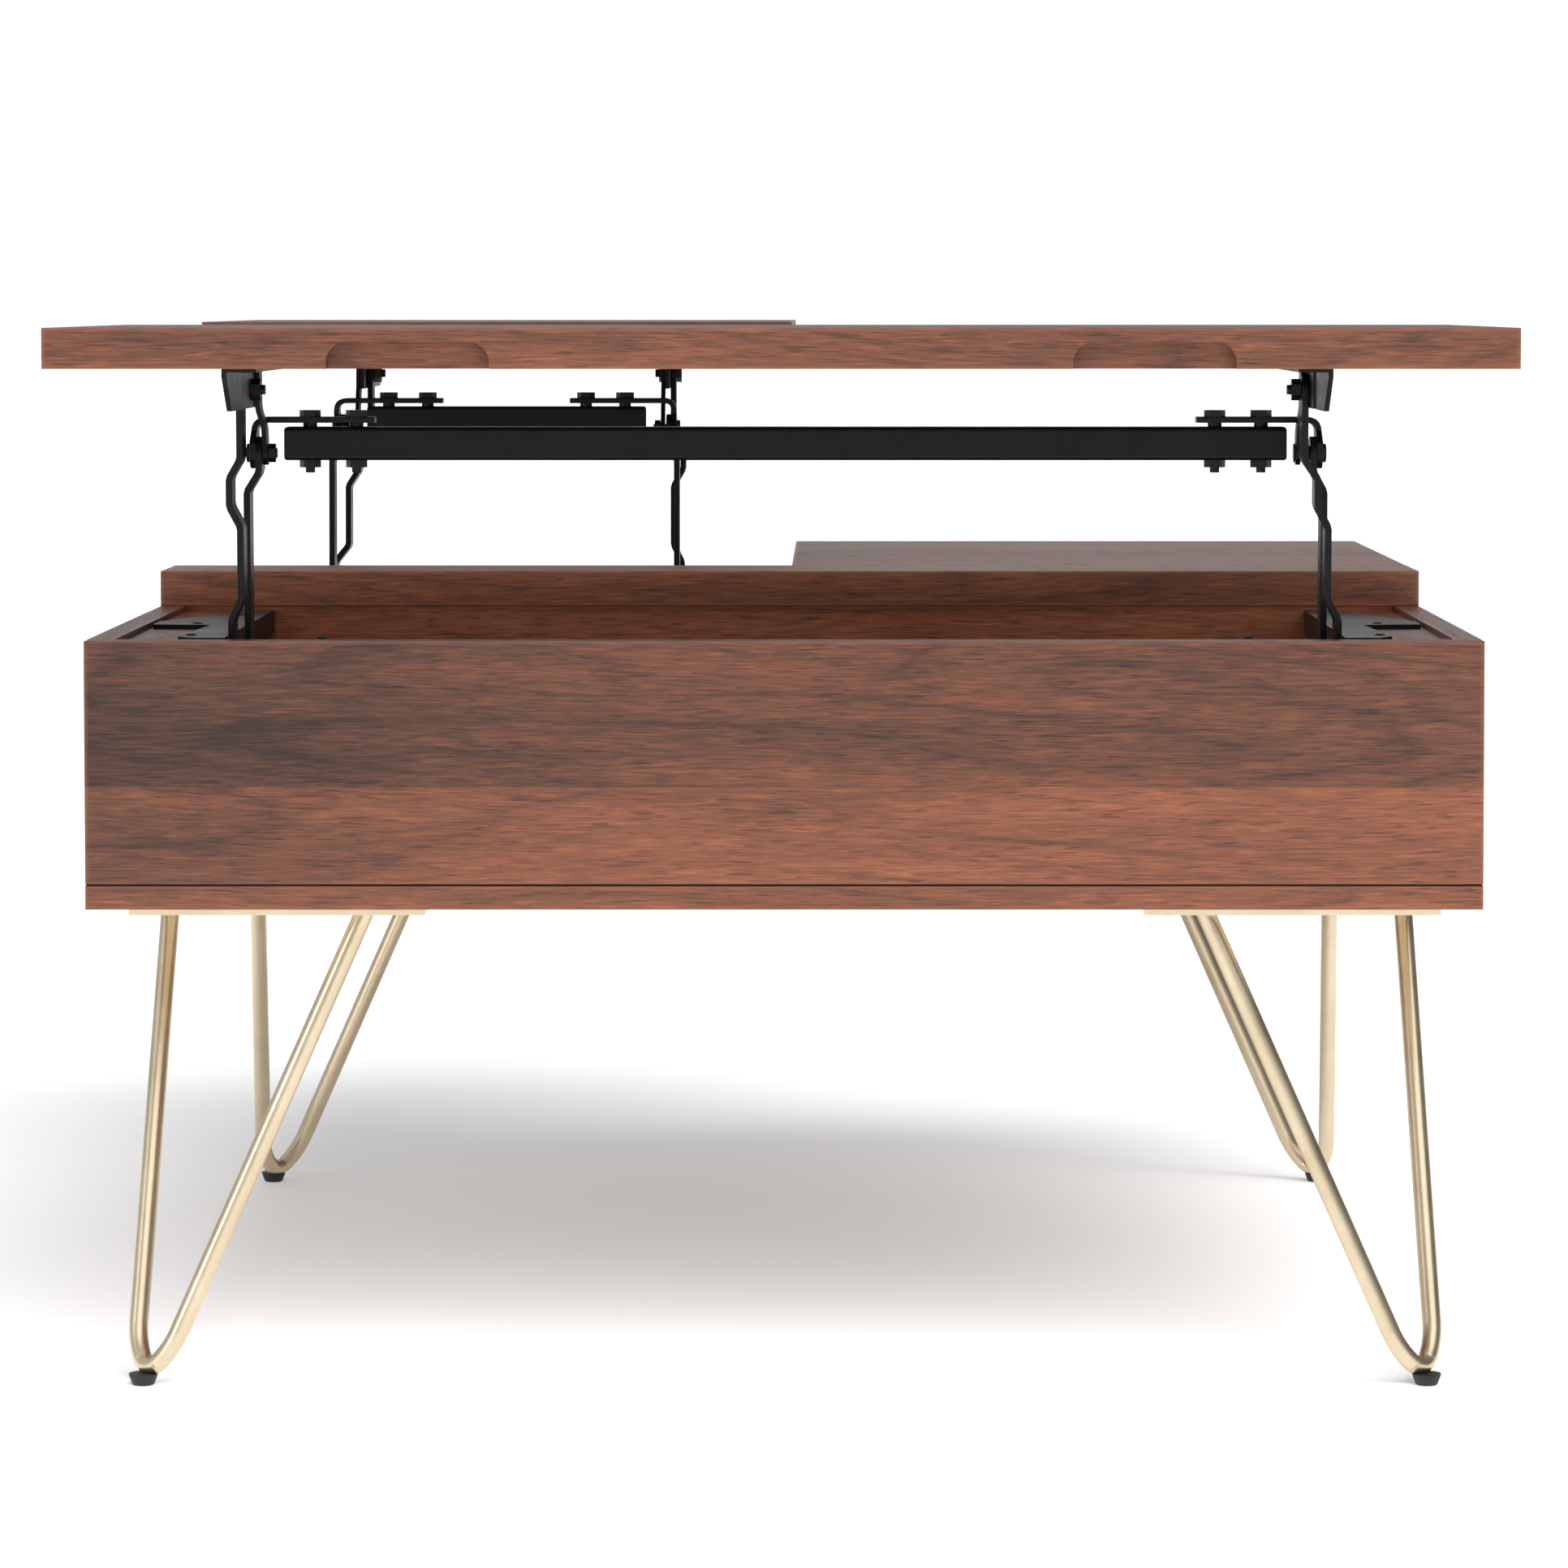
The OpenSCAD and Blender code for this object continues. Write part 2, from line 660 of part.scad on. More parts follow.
// ---- crossbar ----
// Side outline of a tie plate around the lower lid pivot
module tie_side() {
    eye = 10.4;
    front = 1.5;
    back = 19;
    union() {
        circle(eye);
        polygon([[-eye, 0], [eye, 0], [back, 12], [back, 25], [front, 25], [front, 15],
            [-eye, 7]]);
    }
}
module tie_plate(b, bar_end) {
    tab = b[1] + bar_t / 2 + tie_t / 2;
    color(black) difference() {
        intersection() {
            xz(2 * box_d) polygon(ribbon(eased([[bar_end - tie_len, tie_z], [tab, tie_z],
                [tab, lower_lid[1] - bar_w]], 2 * tie_t, 5), tie_t));
            translate([0, lower_lid[0], lower_lid[1]]) yz(500) tie_side();
        }
        pin(lower_lid, tab - tie_t, tab + tie_t, pin_d + 0.1);
        tie_bolt_places(bar_end) translate([0, 0, -tie_t])
            cylinder(h = 2 * tie_t, d = bolt_d + 0.3);
    }
}
module tie_bolt_places(bar_end) {
    for (x = [bar_end - bolt_end, bar_end - bolt_end - bolt_step])
        translate([x, tube_y, tie_z]) children();
}
module front_tie_plate_left() { left_side() tie_plate(fl_b, front_bar_end); }
module front_tie_plate_right() { tie_plate(fr_b, front_bar_end); }
module rear_tie_plates() {
    rear_unit() {
        tie_plate(ro_b, rear_bar_outer);
        left_side() tie_plate(ri_b, rear_bar_inner);
    }
}
module soft_rectangle(wide, high, r) {
    union() {
        square([wide - 2 * r, high], center = true);
        square([wide, high - 2 * r], center = true);
        for (i = [-1, 1], j = [-1, 1])
            translate([i * (wide / 2 - r), j * (high / 2 - r)]) circle(r);
    }
}
module soft_square(size, r) { soft_rectangle(size, size, r); }
// Square tube from x = -left to x = right
module crossbar(left, right) {
    color(black) difference() {
        intersection() {
            translate([-left, tube_y, tube_z]) yz(left + right) difference() {
                soft_square(tube, 3);
                soft_square(tube - 2 * tube_wall, 1);
            }
            translate([(right - left) / 2, 0, tube_z]) xz(2 * box_d)
                soft_rectangle(left + right, tube, 2);
        }
        tie_bolt_places(right) crossbar_bore();
        left_side() tie_bolt_places(left) crossbar_bore();
    }
}
module crossbar_bore() {
    translate([0, 0, -2 * tube]) cylinder(h = 3 * tube, d = bolt_d + 0.3);
}
module front_crossbar() { crossbar(front_bar_end, front_bar_end); }
module rear_crossbar() { rear_unit() crossbar(rear_bar_inner, rear_bar_outer); }
// Bolts down through a tie plate, a spacer and the crossbar, with a nut under each
module tie_bolts(bar_end) {
    nut_top = tube_z - tube / 2 - tie_z;
    tube_top = tube_z + tube / 2 - tie_z;
    nut = nut_h - 1.1;
    tip = nut + 3.5;
    tie_bolt_places(bar_end) {
        translate([0, 0, nut_top - tip]) cylinder(h = tie_t / 2 + tip - nut_top, d = bolt_d);
        translate([0, 0, tie_t / 2]) cylinder(h = head_h + 0.5, d = hex_big / cos(30), $fn = 6);
        difference() {
            translate([0, 0, nut_top - nut]) cylinder(h = nut, d = hex_big / cos(30), $fn = 6);
            translate([0, 0, nut_top - nut - 1]) cylinder(h = nut + 2, d = bolt_d + 0.1);
        }
        difference() {
            translate([0, 0, tube_top]) cylinder(h = -tie_t / 2 - tube_top, d = spacer_d);
            translate([0, 0, -tube]) cylinder(h = 2 * tube, d = bolt_d + 0.1);
        }
    }
}
module front_crossbar_bolts() {
    color(black) {
        left_side() tie_bolts(front_bar_end);
        tie_bolts(front_bar_end);
    }
}
module rear_crossbar_bolts() {
    color(black) rear_unit() {
        tie_bolts(rear_bar_outer);
        left_side() tie_bolts(rear_bar_inner);
    }
}
// Bolt that ties the top of a lower arm to the drop link of the lid. With a full nut
// the bolt shows past it, otherwise it ends in a thin head.
module link_bolt(b, link, nut) {
    show = nut > link_head ? 1 : 0;
    tab_out = b[1] + bar_t / 2 + tie_t;
    arm_in = b[1] - bar_t / 2;
    link_out = link[1] + sheet / 2 + face_gap;
    link_in = link[1] - sheet / 2 - face_gap;
    color(black) union() {
        hex(lower_lid, tab_out, tab_out + 2.6, hex_small);
        pin(lower_lid, link_in - nut - show, tab_out + 1, pin_d);
        if (arm_in - link_out > 1) pin(lower_lid, link_out, arm_in, spacer_d);
        hex(lower_lid, link_in - nut, link_in, hex_small);
    }
}
module front_link_bolts() {
    left_side() link_bolt(fl_b, fl_link, link_nut);
    link_bolt(fr_b, fr_link, link_head);
}
module rear_link_bolts() {
    rear_unit() {
        link_bolt(ro_b, ro_link, link_head);
        left_side() link_bolt(ri_b, ri_link, link_nut);
    }
}

// ---- lid brackets ----
module lid_screw_places(web, up) {
    inward = flange_in - 9;
    for (y = [web_front + 18, web_front + 82, web_back - 46, web_back - 12])
        translate([web - inward, y, lid_z - (1 - up) * sheet]) children();
}
// Angle bracket under the lid with the drop link that reaches the lower pivot.
// A notch lets an arm that runs inside the web cross over as the lid closes.
module lid_bracket(web, link, arm_inside) {
    w0 = web - sheet / 2;
    slope = 31;
    jog_z = lid_z - 30;
    notch_back = 63;
    notch_len = 24;
    color(black) difference() {
        union() {
            translate([w0, 0, 0]) yz(sheet) polygon([[web_front, lid_z],
                [web_front, lid_z - 6], [web_front + slope, lid_z - web_h],
                [web_back, lid_z - web_h], [web_back, lid_z]]);
            translate([w0 + sheet - flange_in, web_front, lid_z - sheet])
                cube([flange_in, web_back - web_front, sheet]);
            intersection() {
                xz(2 * box_d) polygon(ribbon(eased([[link[0], lid_z - sheet],
                    [link[0], jog_z], [link[1], jog_z - 12],
                    [link[1], lower_lid[1] - bar_w]], 2, 1), sheet));
                yz(500) union() {
                    polygon([[web_back - 18, lid_z - 5], [web_back, lid_z - 5],
                        [web_back + 2, lid_z - 26], [lower_lid[0] + eye_r, lower_lid[1]],
                        [lower_lid[0] - eye_r, lower_lid[1]], [web_back - 17, lid_z - 28]]);
                    translate(lower_lid) circle(eye_r);
                }
            }
        }
        pin(upper_lid, web - eye_r, web + eye_r, pin_d + 0.1);
        pin(lower_lid, link[1] - eye_r, link[1] + eye_r, pin_d + loose_gap);
        lid_screw_places(web, 0) translate([0, 0, -1])
            cylinder(h = sheet + 2, d = screw_d + 0.2);
        if (arm_inside)
            translate([web - 4, upper_lid[0] - notch_back, lid_z - web_h - 1])
                cube([8, notch_len, web_h - 3]);
    }
}
module front_lid_bracket_left() { left_side() lid_bracket(fl_web, fl_link, false); }
module front_lid_bracket_right() { lid_bracket(fr_web, fr_link, true); }
module rear_lid_bracket_outer() { rear_unit() lid_bracket(ro_web, ro_link, true); }
module rear_lid_bracket_inner() { rear_unit() left_side() lid_bracket(ri_web, ri_link, false); }

// Bolt through the web and the top of the upper arm
module lid_bolt(web, arm_at) {
    outer = max(web + sheet / 2, arm_at + bar_t / 2 + face_gap);
    inner = min(web - sheet / 2, arm_at - bar_t / 2 - face_gap);
    color(black) {
        union() {
            pin(upper_lid, inner - nut_h - 3, outer, pin_d);
            hex(upper_lid, outer, outer + head_h, hex_big);
        }
        hex_nut(upper_lid, inner - nut_h, inner, hex_big, pin_d + 0.1);
    }
}
module front_lid_bolts() {
    left_side() lid_bolt(fl_web, fl_a[3]);
    lid_bolt(fr_web, fr_a[3]);
}
module rear_lid_bolts() {
    rear_unit() {
        lid_bolt(ro_web, ro_a[3]);
        left_side() lid_bolt(ri_web, ri_a[3]);
    }
}
module side_lid_screws(web) {
    rise = screw_rise / 3;
    lid_screw_places(web, 0) {
        cylinder(h = screw_len - 1 + sheet, d = screw_d);
        translate([0, 0, -rise]) cylinder(h = rise, d1 = screw_head - 1, d2 = screw_head);
    }
}
module front_lid_screws() {
    color(black) {
        left_side() side_lid_screws(fl_web);
        side_lid_screws(fr_web);
    }
}
module rear_lid_screws() {
    color(black) rear_unit() {
        side_lid_screws(ro_web);
        left_side() side_lid_screws(ri_web);
    }
}

front_panel();
back_panel();
left_panel();
right_panel();
bottom_board();
front_divider();
rear_divider();
centre_divider();
centre_strip();
fixed_top_panel();
front_left_rail();
front_right_rail();
rear_outer_rail();
rear_inner_rail();
leg_rod_front_left();
leg_rod_front_right();
leg_rod_rear_left();
leg_rod_rear_right();
leg_plate_front_left();
leg_plate_front_right();
leg_plate_rear_left();
leg_plate_rear_right();
foot_caps();
leg_screws();
lid_bumpers();
base_screws();
front_base_left();
front_base_right();
front_studs();
front_upper_arm_left();
front_upper_arm_right();
front_lower_arm_left();
front_lower_arm_right();
front_tie_plate_left();
front_tie_plate_right();
front_crossbar();
front_crossbar_bolts();
front_link_bolts();
front_lid();
front_lid_bracket_left();
front_lid_bracket_right();
front_lid_bolts();
front_lid_screws();
rear_base_outer();
rear_base_inner();
rear_studs();
rear_upper_arm_outer();
rear_upper_arm_inner();
rear_lower_arm_outer();
rear_lower_arm_inner();
rear_tie_plates();
rear_crossbar();
rear_crossbar_bolts();
rear_link_bolts();
rear_lid();
rear_lid_bracket_outer();
rear_lid_bracket_inner();
rear_lid_bolts();
rear_lid_screws();
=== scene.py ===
import math
import random

import bpy
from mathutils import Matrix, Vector


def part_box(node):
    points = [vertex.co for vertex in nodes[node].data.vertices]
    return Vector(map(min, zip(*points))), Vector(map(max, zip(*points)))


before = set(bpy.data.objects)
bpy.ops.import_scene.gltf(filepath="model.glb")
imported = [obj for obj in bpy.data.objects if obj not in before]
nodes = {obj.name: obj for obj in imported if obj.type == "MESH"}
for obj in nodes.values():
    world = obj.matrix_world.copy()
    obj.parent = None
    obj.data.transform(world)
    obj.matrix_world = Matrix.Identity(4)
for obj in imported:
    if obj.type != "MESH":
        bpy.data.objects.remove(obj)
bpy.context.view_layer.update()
SEED = 11
rng = random.Random(SEED)


# ---- node trees ----
class Tree:
    """A material's node tree, built by small calls that take sockets or numbers."""

    def __init__(self, name):
        self.mat = bpy.data.materials.new(name)
        self.mat.use_nodes = True
        self.nt = self.mat.node_tree
        self.nt.nodes.clear()
        self.out = self.nt.nodes.new("ShaderNodeOutputMaterial")
        self.bsdf = self.nt.nodes.new("ShaderNodeBsdfPrincipled")
        self.nt.links.new(self.bsdf.outputs[0], self.out.inputs[0])
        self.coords = self.nt.nodes.new("ShaderNodeTexCoord").outputs["Object"]

    def put(self, socket, value):
        if isinstance(value, bpy.types.NodeSocket):
            self.nt.links.new(value, socket)
        else:
            socket.default_value = value

    def node(self, kind, settings=None, **inputs):
        n = self.nt.nodes.new("ShaderNode" + kind)
        for key, value in (settings or {}).items():
            setattr(n, key, value)
        for key, value in inputs.items():
            self.put(n.inputs[key.replace("_", " ")], value)
        return n

    def math(self, op, a, b=0.0, clamp=False):
        n = self.nt.nodes.new("ShaderNodeMath")
        n.operation = op
        n.use_clamp = clamp
        self.put(n.inputs[0], a)
        self.put(n.inputs[1], b)
        return n.outputs[0]

    def vec(self, op, a, b=(0, 0, 0)):
        n = self.nt.nodes.new("ShaderNodeVectorMath")
        n.operation = op
        self.put(n.inputs[0], a)
        self.put(n.inputs[1], b)
        return n.outputs[0]

    def scaled(self, v, factor):
        n = self.nt.nodes.new("ShaderNodeVectorMath")
        n.operation = "SCALE"
        self.put(n.inputs[0], v)
        self.put(n.inputs["Scale"], factor)
        return n.outputs[0]

    def noise(self, v, scale, detail=3.0, rough=0.55, distort=0.0):
        n = self.node("TexNoise", Vector=v, Scale=scale, Detail=detail, Roughness=rough,
                      Distortion=distort)
        return n.outputs[0]

    def remap(self, v, lo, hi, to_lo=0.0, to_hi=1.0):
        n = self.node("MapRange", {"clamp": True})
        self.put(n.inputs[0], v)
        for i, x in enumerate((lo, hi, to_lo, to_hi)):
            n.inputs[1 + i].default_value = x
        return n.outputs[0]

    def ramp(self, v, stops):
        n = self.nt.nodes.new("ShaderNodeValToRGB")
        e = n.color_ramp.elements
        while len(e) < len(stops):
            e.new(0.5)
        for i, (pos, col) in enumerate(stops):
            e[i].position = pos
            e[i].color = (*col, 1)
        self.put(n.inputs[0], v)
        return n.outputs[0]

    def mix(self, t, a, b, blend="MIX"):
        n = self.nt.nodes.new("ShaderNodeMix")
        n.data_type = "RGBA"
        n.blend_type = blend
        self.put(n.inputs[0], t)
        for socket, value in ((n.inputs[6], a), (n.inputs[7], b)):
            self.put(socket, (*value, 1) if isinstance(value, tuple) else value)
        return n.outputs[2]

    def bump(self, height, distance, strength=1.0, under=None):
        n = self.node("Bump", Strength=strength, Distance=distance, Height=height)
        if under is not None:
            self.put(n.inputs["Normal"], under)
        return n.outputs[0]

    def finish(self, **inputs):
        for key, value in inputs.items():
            self.put(self.bsdf.inputs[key.replace("_", " ")], value)
        return self.mat


def srgb(r, g, b):
    def lin(c):
        c /= 255
        return c / 12.92 if c <= 0.04045 else ((c + 0.055) / 1.055) ** 2.4
    return (lin(r), lin(g), lin(b))


# ---- wood ----
X, Y, Z = 0, 1, 2
# how much longer the wood's patterns are along the grain, as a share of their frequency
ALONG_GRAIN = 0.13
GRAIN_SWAY = 0.055
RING_COUNT = 70.0
DARKER_AREA_RAGGED = 1.5
WOOD_BEVEL = 0.0008
METAL_BEVEL = 0.0004
BEVEL_ANGLE = 30
# the side panels meet the bottom board in a crease, which is painted near-black: painted shade
# in the joint
CREASE_SHADE_PARTS = ("front_panel", "back_panel", "left_panel", "right_panel", "bottom_board")
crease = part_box("front_panel")[0].z


def wood(name, box, grain, across, seams, tones, patch, darker_area):
    """Stained solid wood of glued boards. grain is the axis that the fibres follow, across
    the axis that the boards are laid side by side on, with a seam at each of seams. tones
    shifts each board lighter or darker, patch is the strength of the dark mineral patches
    and darker_area is a place and reach of one broad area painted darker, or None."""
    t = Tree("wood_" + name)
    lo, hi = box
    sep = t.node("SeparateXYZ", Vector=t.coords).outputs
    board = tone = None
    for k, place in enumerate(seams):
        over = t.math("GREATER_THAN", sep[across], place)
        board = over if board is None else t.math("ADD", board, over)
        step = t.math("MULTIPLY", over, tones[k + 1] - tones[k])
        tone = step if tone is None else t.math("ADD", tone, step)
    start = [rng.uniform(-40, 40) for _ in range(3)]
    p = t.vec("ADD", t.coords, tuple(start))
    if board is not None:
        p = t.vec("ADD", p, t.scaled(tuple(rng.uniform(3, 9) for _ in range(3)), board))
    # fibres run along the grain, so every pattern is stretched that way
    long_way = [1.0, 1.0, 1.0]
    long_way[grain] = ALONG_GRAIN
    warp = t.node("TexNoise", Vector=t.vec("MULTIPLY", p, tuple(2 * s for s in long_way)),
                  Scale=2.2, Detail=3.0, Roughness=0.5).outputs[1]
    bend = t.scaled(t.vec("SUBTRACT", warp, (0.5, 0.5, 0.5)), GRAIN_SWAY)
    q = t.vec("MULTIPLY", t.vec("ADD", p, bend), tuple(long_way))
    # growth rings cut through at a low angle
    ring_way = [5.0, 7.5, 6.0]
    ring_way[grain] = 5.5
    ring = t.noise(t.vec("MULTIPLY", q, tuple(ring_way)), 1.0, 2.0, 0.5, 0.35)
    rings = t.math("ABSOLUTE", t.math("SINE", t.math("MULTIPLY", ring, RING_COUNT)))
    rings = t.math("POWER", rings, 0.35)
    cloud = t.noise(q, 7.0, 4.0, 0.55, 0.6)
    band = t.noise(q, 38.0, 4.0, 0.6, 0.2)
    fibre_way = [900.0, 900.0, 900.0]
    fibre_way[grain] = 42.0
    fibre = t.noise(t.vec("MULTIPLY", t.vec("ADD", p, bend), tuple(fibre_way)), 1.0, 2.0, 0.6)
    pore_way = [620.0, 620.0, 620.0]
    pore_way[grain] = 52.0
    pore = t.noise(t.vec("MULTIPLY", t.vec("ADD", p, bend), tuple(pore_way)), 1.0, 1.0, 0.4)
    pores = t.remap(pore, 0.62, 0.72)
    fleck_way = [260.0, 260.0, 260.0]
    fleck_way[grain] = 40.0
    fleck = t.noise(t.vec("MULTIPLY", p, tuple(fleck_way)), 1.0, 3.0, 0.65)

    mixed = t.math("MULTIPLY_ADD", cloud, 0.55)
    mixed.node.inputs[2].default_value = 0.225 + tones[0]
    for pattern, middle, amount in ((band, 0.5, 0.30), (rings, 0.8, 0.16),
                                    (fleck, 0.5, 0.30), (fibre, 0.5, 0.66)):
        wave = t.math("MULTIPLY", t.math("SUBTRACT", pattern, middle), amount)
        mixed = t.math("ADD", mixed, wave)
    if tone is not None:
        mixed = t.math("ADD", mixed, tone)
    # darken one broad area, with a ragged edge
    if darker_area:
        place, reach, depth = darker_area
        offset = t.vec("MULTIPLY", t.vec("SUBTRACT", t.coords, place),
                       tuple(1 / v for v in reach))
        ragged = t.noise(q, 16.0, 5.0, 0.62, 1.2)
        ragged = t.math("MULTIPLY", t.math("SUBTRACT", ragged, 0.5), DARKER_AREA_RAGGED)
        length = t.node("VectorMath", {"operation": "LENGTH"}, Vector=offset)
        far = t.math("ADD", length.outputs["Value"], ragged)
        mixed = t.math("SUBTRACT", mixed, t.remap(far, 0.45, 1.15, depth, 0.0))
    colour = t.ramp(mixed, ((0.14, srgb(52, 33, 27)), (0.34, srgb(84, 53, 41)),
                            (0.50, srgb(112, 68, 49)), (0.66, srgb(137, 82, 57)),
                            (0.86, srgb(168, 104, 72))))
    # broad dark mineral patches that end in a soft swirl
    dark = t.noise(t.vec("MULTIPLY", q, (3.2, 3.2, 3.2)), 2.4, 5.0, 0.62, 1.4)
    dark = t.remap(dark, 0.56, 0.74, 0.0, patch)
    colour = t.mix(dark, colour, t.mix(fleck, srgb(62, 41, 34), srgb(92, 60, 48)))
    colour = t.mix(t.math("MULTIPLY", pores, 0.42), colour, srgb(44, 28, 23))

    # edges rubbed a little lighter and smoother, seams a little darker
    near = []
    for axis in range(3):
        a = t.math("SUBTRACT", sep[axis], lo[axis])
        b = t.math("SUBTRACT", hi[axis], sep[axis])
        near.append(t.math("MINIMUM", a, b))
    pair = [t.math("MAXIMUM", near[i], near[j]) for i, j in ((0, 1), (1, 2), (0, 2))]
    edge = t.math("MINIMUM", t.math("MINIMUM", pair[0], pair[1]), pair[2])
    rough_edge = t.math("MULTIPLY", t.math("SUBTRACT", fleck, 0.5), 0.004)
    edge = t.math("ADD", edge, rough_edge)
    worn = t.remap(edge, 0.0004, 0.0030, 1.0, 0.0)
    colour = t.mix(t.math("MULTIPLY", worn, 0.30), colour, srgb(158, 100, 74))
    if name in CREASE_SHADE_PARTS:
        # painted shade: a near-black line along the crease where the panels meet the bottom
        # board
        gap = t.math("ABSOLUTE", t.math("SUBTRACT", sep[Z], crease))
        colour = t.mix(t.remap(gap, 0.0005, 0.0012, 0.9, 0.0), colour, srgb(30, 18, 14))
    for place in seams:
        gap = t.math("ABSOLUTE", t.math("SUBTRACT", sep[across], place))
        colour = t.mix(t.remap(gap, 0.0002, 0.0008, 0.25, 0.0), colour, srgb(48, 30, 24))

    rough = t.math("MULTIPLY_ADD", fibre, 0.16)
    rough.node.inputs[2].default_value = 0.36
    rough = t.math("ADD", rough, t.math("MULTIPLY", pores, 0.14))
    rough = t.math("ADD", rough, t.math("MULTIPLY", t.math("SUBTRACT", band, 0.5), 0.16))
    rough = t.math("SUBTRACT", rough, t.math("MULTIPLY", worn, 0.06))
    grain_bump = t.math("SUBTRACT", t.math("MULTIPLY", fibre, 0.5), pores)
    normal = t.bump(grain_bump, 0.00016, 0.7)
    normal = t.bump(band, 0.0006, 0.25, normal)
    t.bsdf.inputs["Specular IOR Level"].default_value = 0.42
    return t.finish(Base_Color=colour, Roughness=rough, Normal=normal)


# ---- metals and rubber ----
def steel(name, base, rough, peel):
    """Satin black powder coat over bent steel, rubbed thin in a few places."""
    t = Tree(name)
    cloud = t.noise(t.coords, 38.0, 5.0, 0.6)
    grit = t.noise(t.coords, 1500.0, 2.0, 0.5)
    smear = t.noise(t.vec("MULTIPLY", t.coords, (60.0, 60.0, 9.0)), 1.0, 4.0, 0.6)
    colour = t.mix(t.remap(cloud, 0.3, 0.75), tuple(c * 0.75 for c in base),
                   tuple(c * 1.3 for c in base))
    rub = t.math("MULTIPLY", t.remap(smear, 0.62, 0.8), 0.35)
    colour = t.mix(rub, colour, tuple(c * 2.1 for c in base))
    r = t.math("MULTIPLY_ADD", cloud, 0.18)
    r.node.inputs[2].default_value = rough - 0.09
    r = t.math("ADD", r, t.math("MULTIPLY", t.math("SUBTRACT", smear, 0.5), 0.14))
    normal = t.bump(grit, 0.00005, peel)
    t.bsdf.inputs["Specular IOR Level"].default_value = 0.2
    return t.finish(Base_Color=colour, Roughness=r, Normal=normal)


def champagne(name, rough):
    """Brushed champagne plating on steel rod and plate."""
    t = Tree(name)
    t.bsdf.inputs["Metallic"].default_value = 1.0
    cloud = t.noise(t.coords, 22.0, 5.0, 0.6)
    brush = t.noise(t.vec("MULTIPLY", t.coords, (1600.0, 1600.0, 26.0)), 1.0, 2.0, 0.6)
    spot = t.remap(t.noise(t.coords, 160.0, 3.0, 0.6), 0.66, 0.78)
    colour = t.mix(t.remap(cloud, 0.3, 0.72), srgb(206, 189, 160), srgb(224, 209, 182))
    colour = t.mix(t.math("MULTIPLY", t.remap(brush, 0.35, 0.7), 0.18), colour,
                   srgb(204, 184, 152))
    colour = t.mix(t.math("MULTIPLY", spot, 0.15), colour, srgb(176, 152, 120))
    r = t.math("MULTIPLY_ADD", brush, 0.14)
    r.node.inputs[2].default_value = rough - 0.07
    r = t.math("ADD", r, t.math("MULTIPLY", t.math("SUBTRACT", cloud, 0.5), 0.12))
    return t.finish(Base_Color=colour, Roughness=r, Normal=t.bump(brush, 0.00004, 0.5))


def rubber(name):
    t = Tree(name)
    cloud = t.noise(t.coords, 160.0, 4.0, 0.6)
    grain = t.noise(t.coords, 2400.0, 2.0, 0.5)
    dust = t.remap(t.noise(t.coords, 420.0, 4.0, 0.7), 0.6, 0.8)
    colour = t.mix(t.remap(cloud, 0.3, 0.7), (0.006, 0.006, 0.006), (0.012, 0.012, 0.0125))
    colour = t.mix(t.math("MULTIPLY", dust, 0.2), colour, (0.09, 0.085, 0.08))
    r = t.math("MULTIPLY_ADD", cloud, 0.2)
    r.node.inputs[2].default_value = 0.46
    return t.finish(Base_Color=colour, Roughness=r, Normal=t.bump(grain, 0.00006, 0.5))


# ---- finishes on the CAD nodes ----
def wear(name, mat, bevel):
    o = nodes[name]
    o.data.materials.clear()
    o.data.materials.append(mat)
    weld = o.modifiers.new("weld", "WELD")
    weld.merge_threshold = 1e-6
    if bevel:
        b = o.modifiers.new("edge", "BEVEL")
        b.width = bevel
        b.segments = 2
        b.limit_method = "ANGLE"
        b.angle_limit = math.radians(BEVEL_ANGLE)
        b.use_clamp_overlap = True
        b.harden_normals = True


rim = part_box("front_panel")[1].z
PANEL_BOARDS_DOWN = (0.0953, 0.0353)
panel_seams = [rim - down for down in PANEL_BOARDS_DOWN]


def lid_seams(name):
    """Where the three equal boards of a top piece meet."""
    lo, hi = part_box(name)
    return [lo.y + (hi.y - lo.y) * k / 3 for k in (1, 2)]


def boards(n, spread, middle=0.0):
    """A tone for each of n boards."""
    return [middle + rng.uniform(-spread, spread) for _ in range(n)]


hidden_seam = [rim - 0.082]
floor_seams = [-0.25, -0.06, 0.14, 0.31]
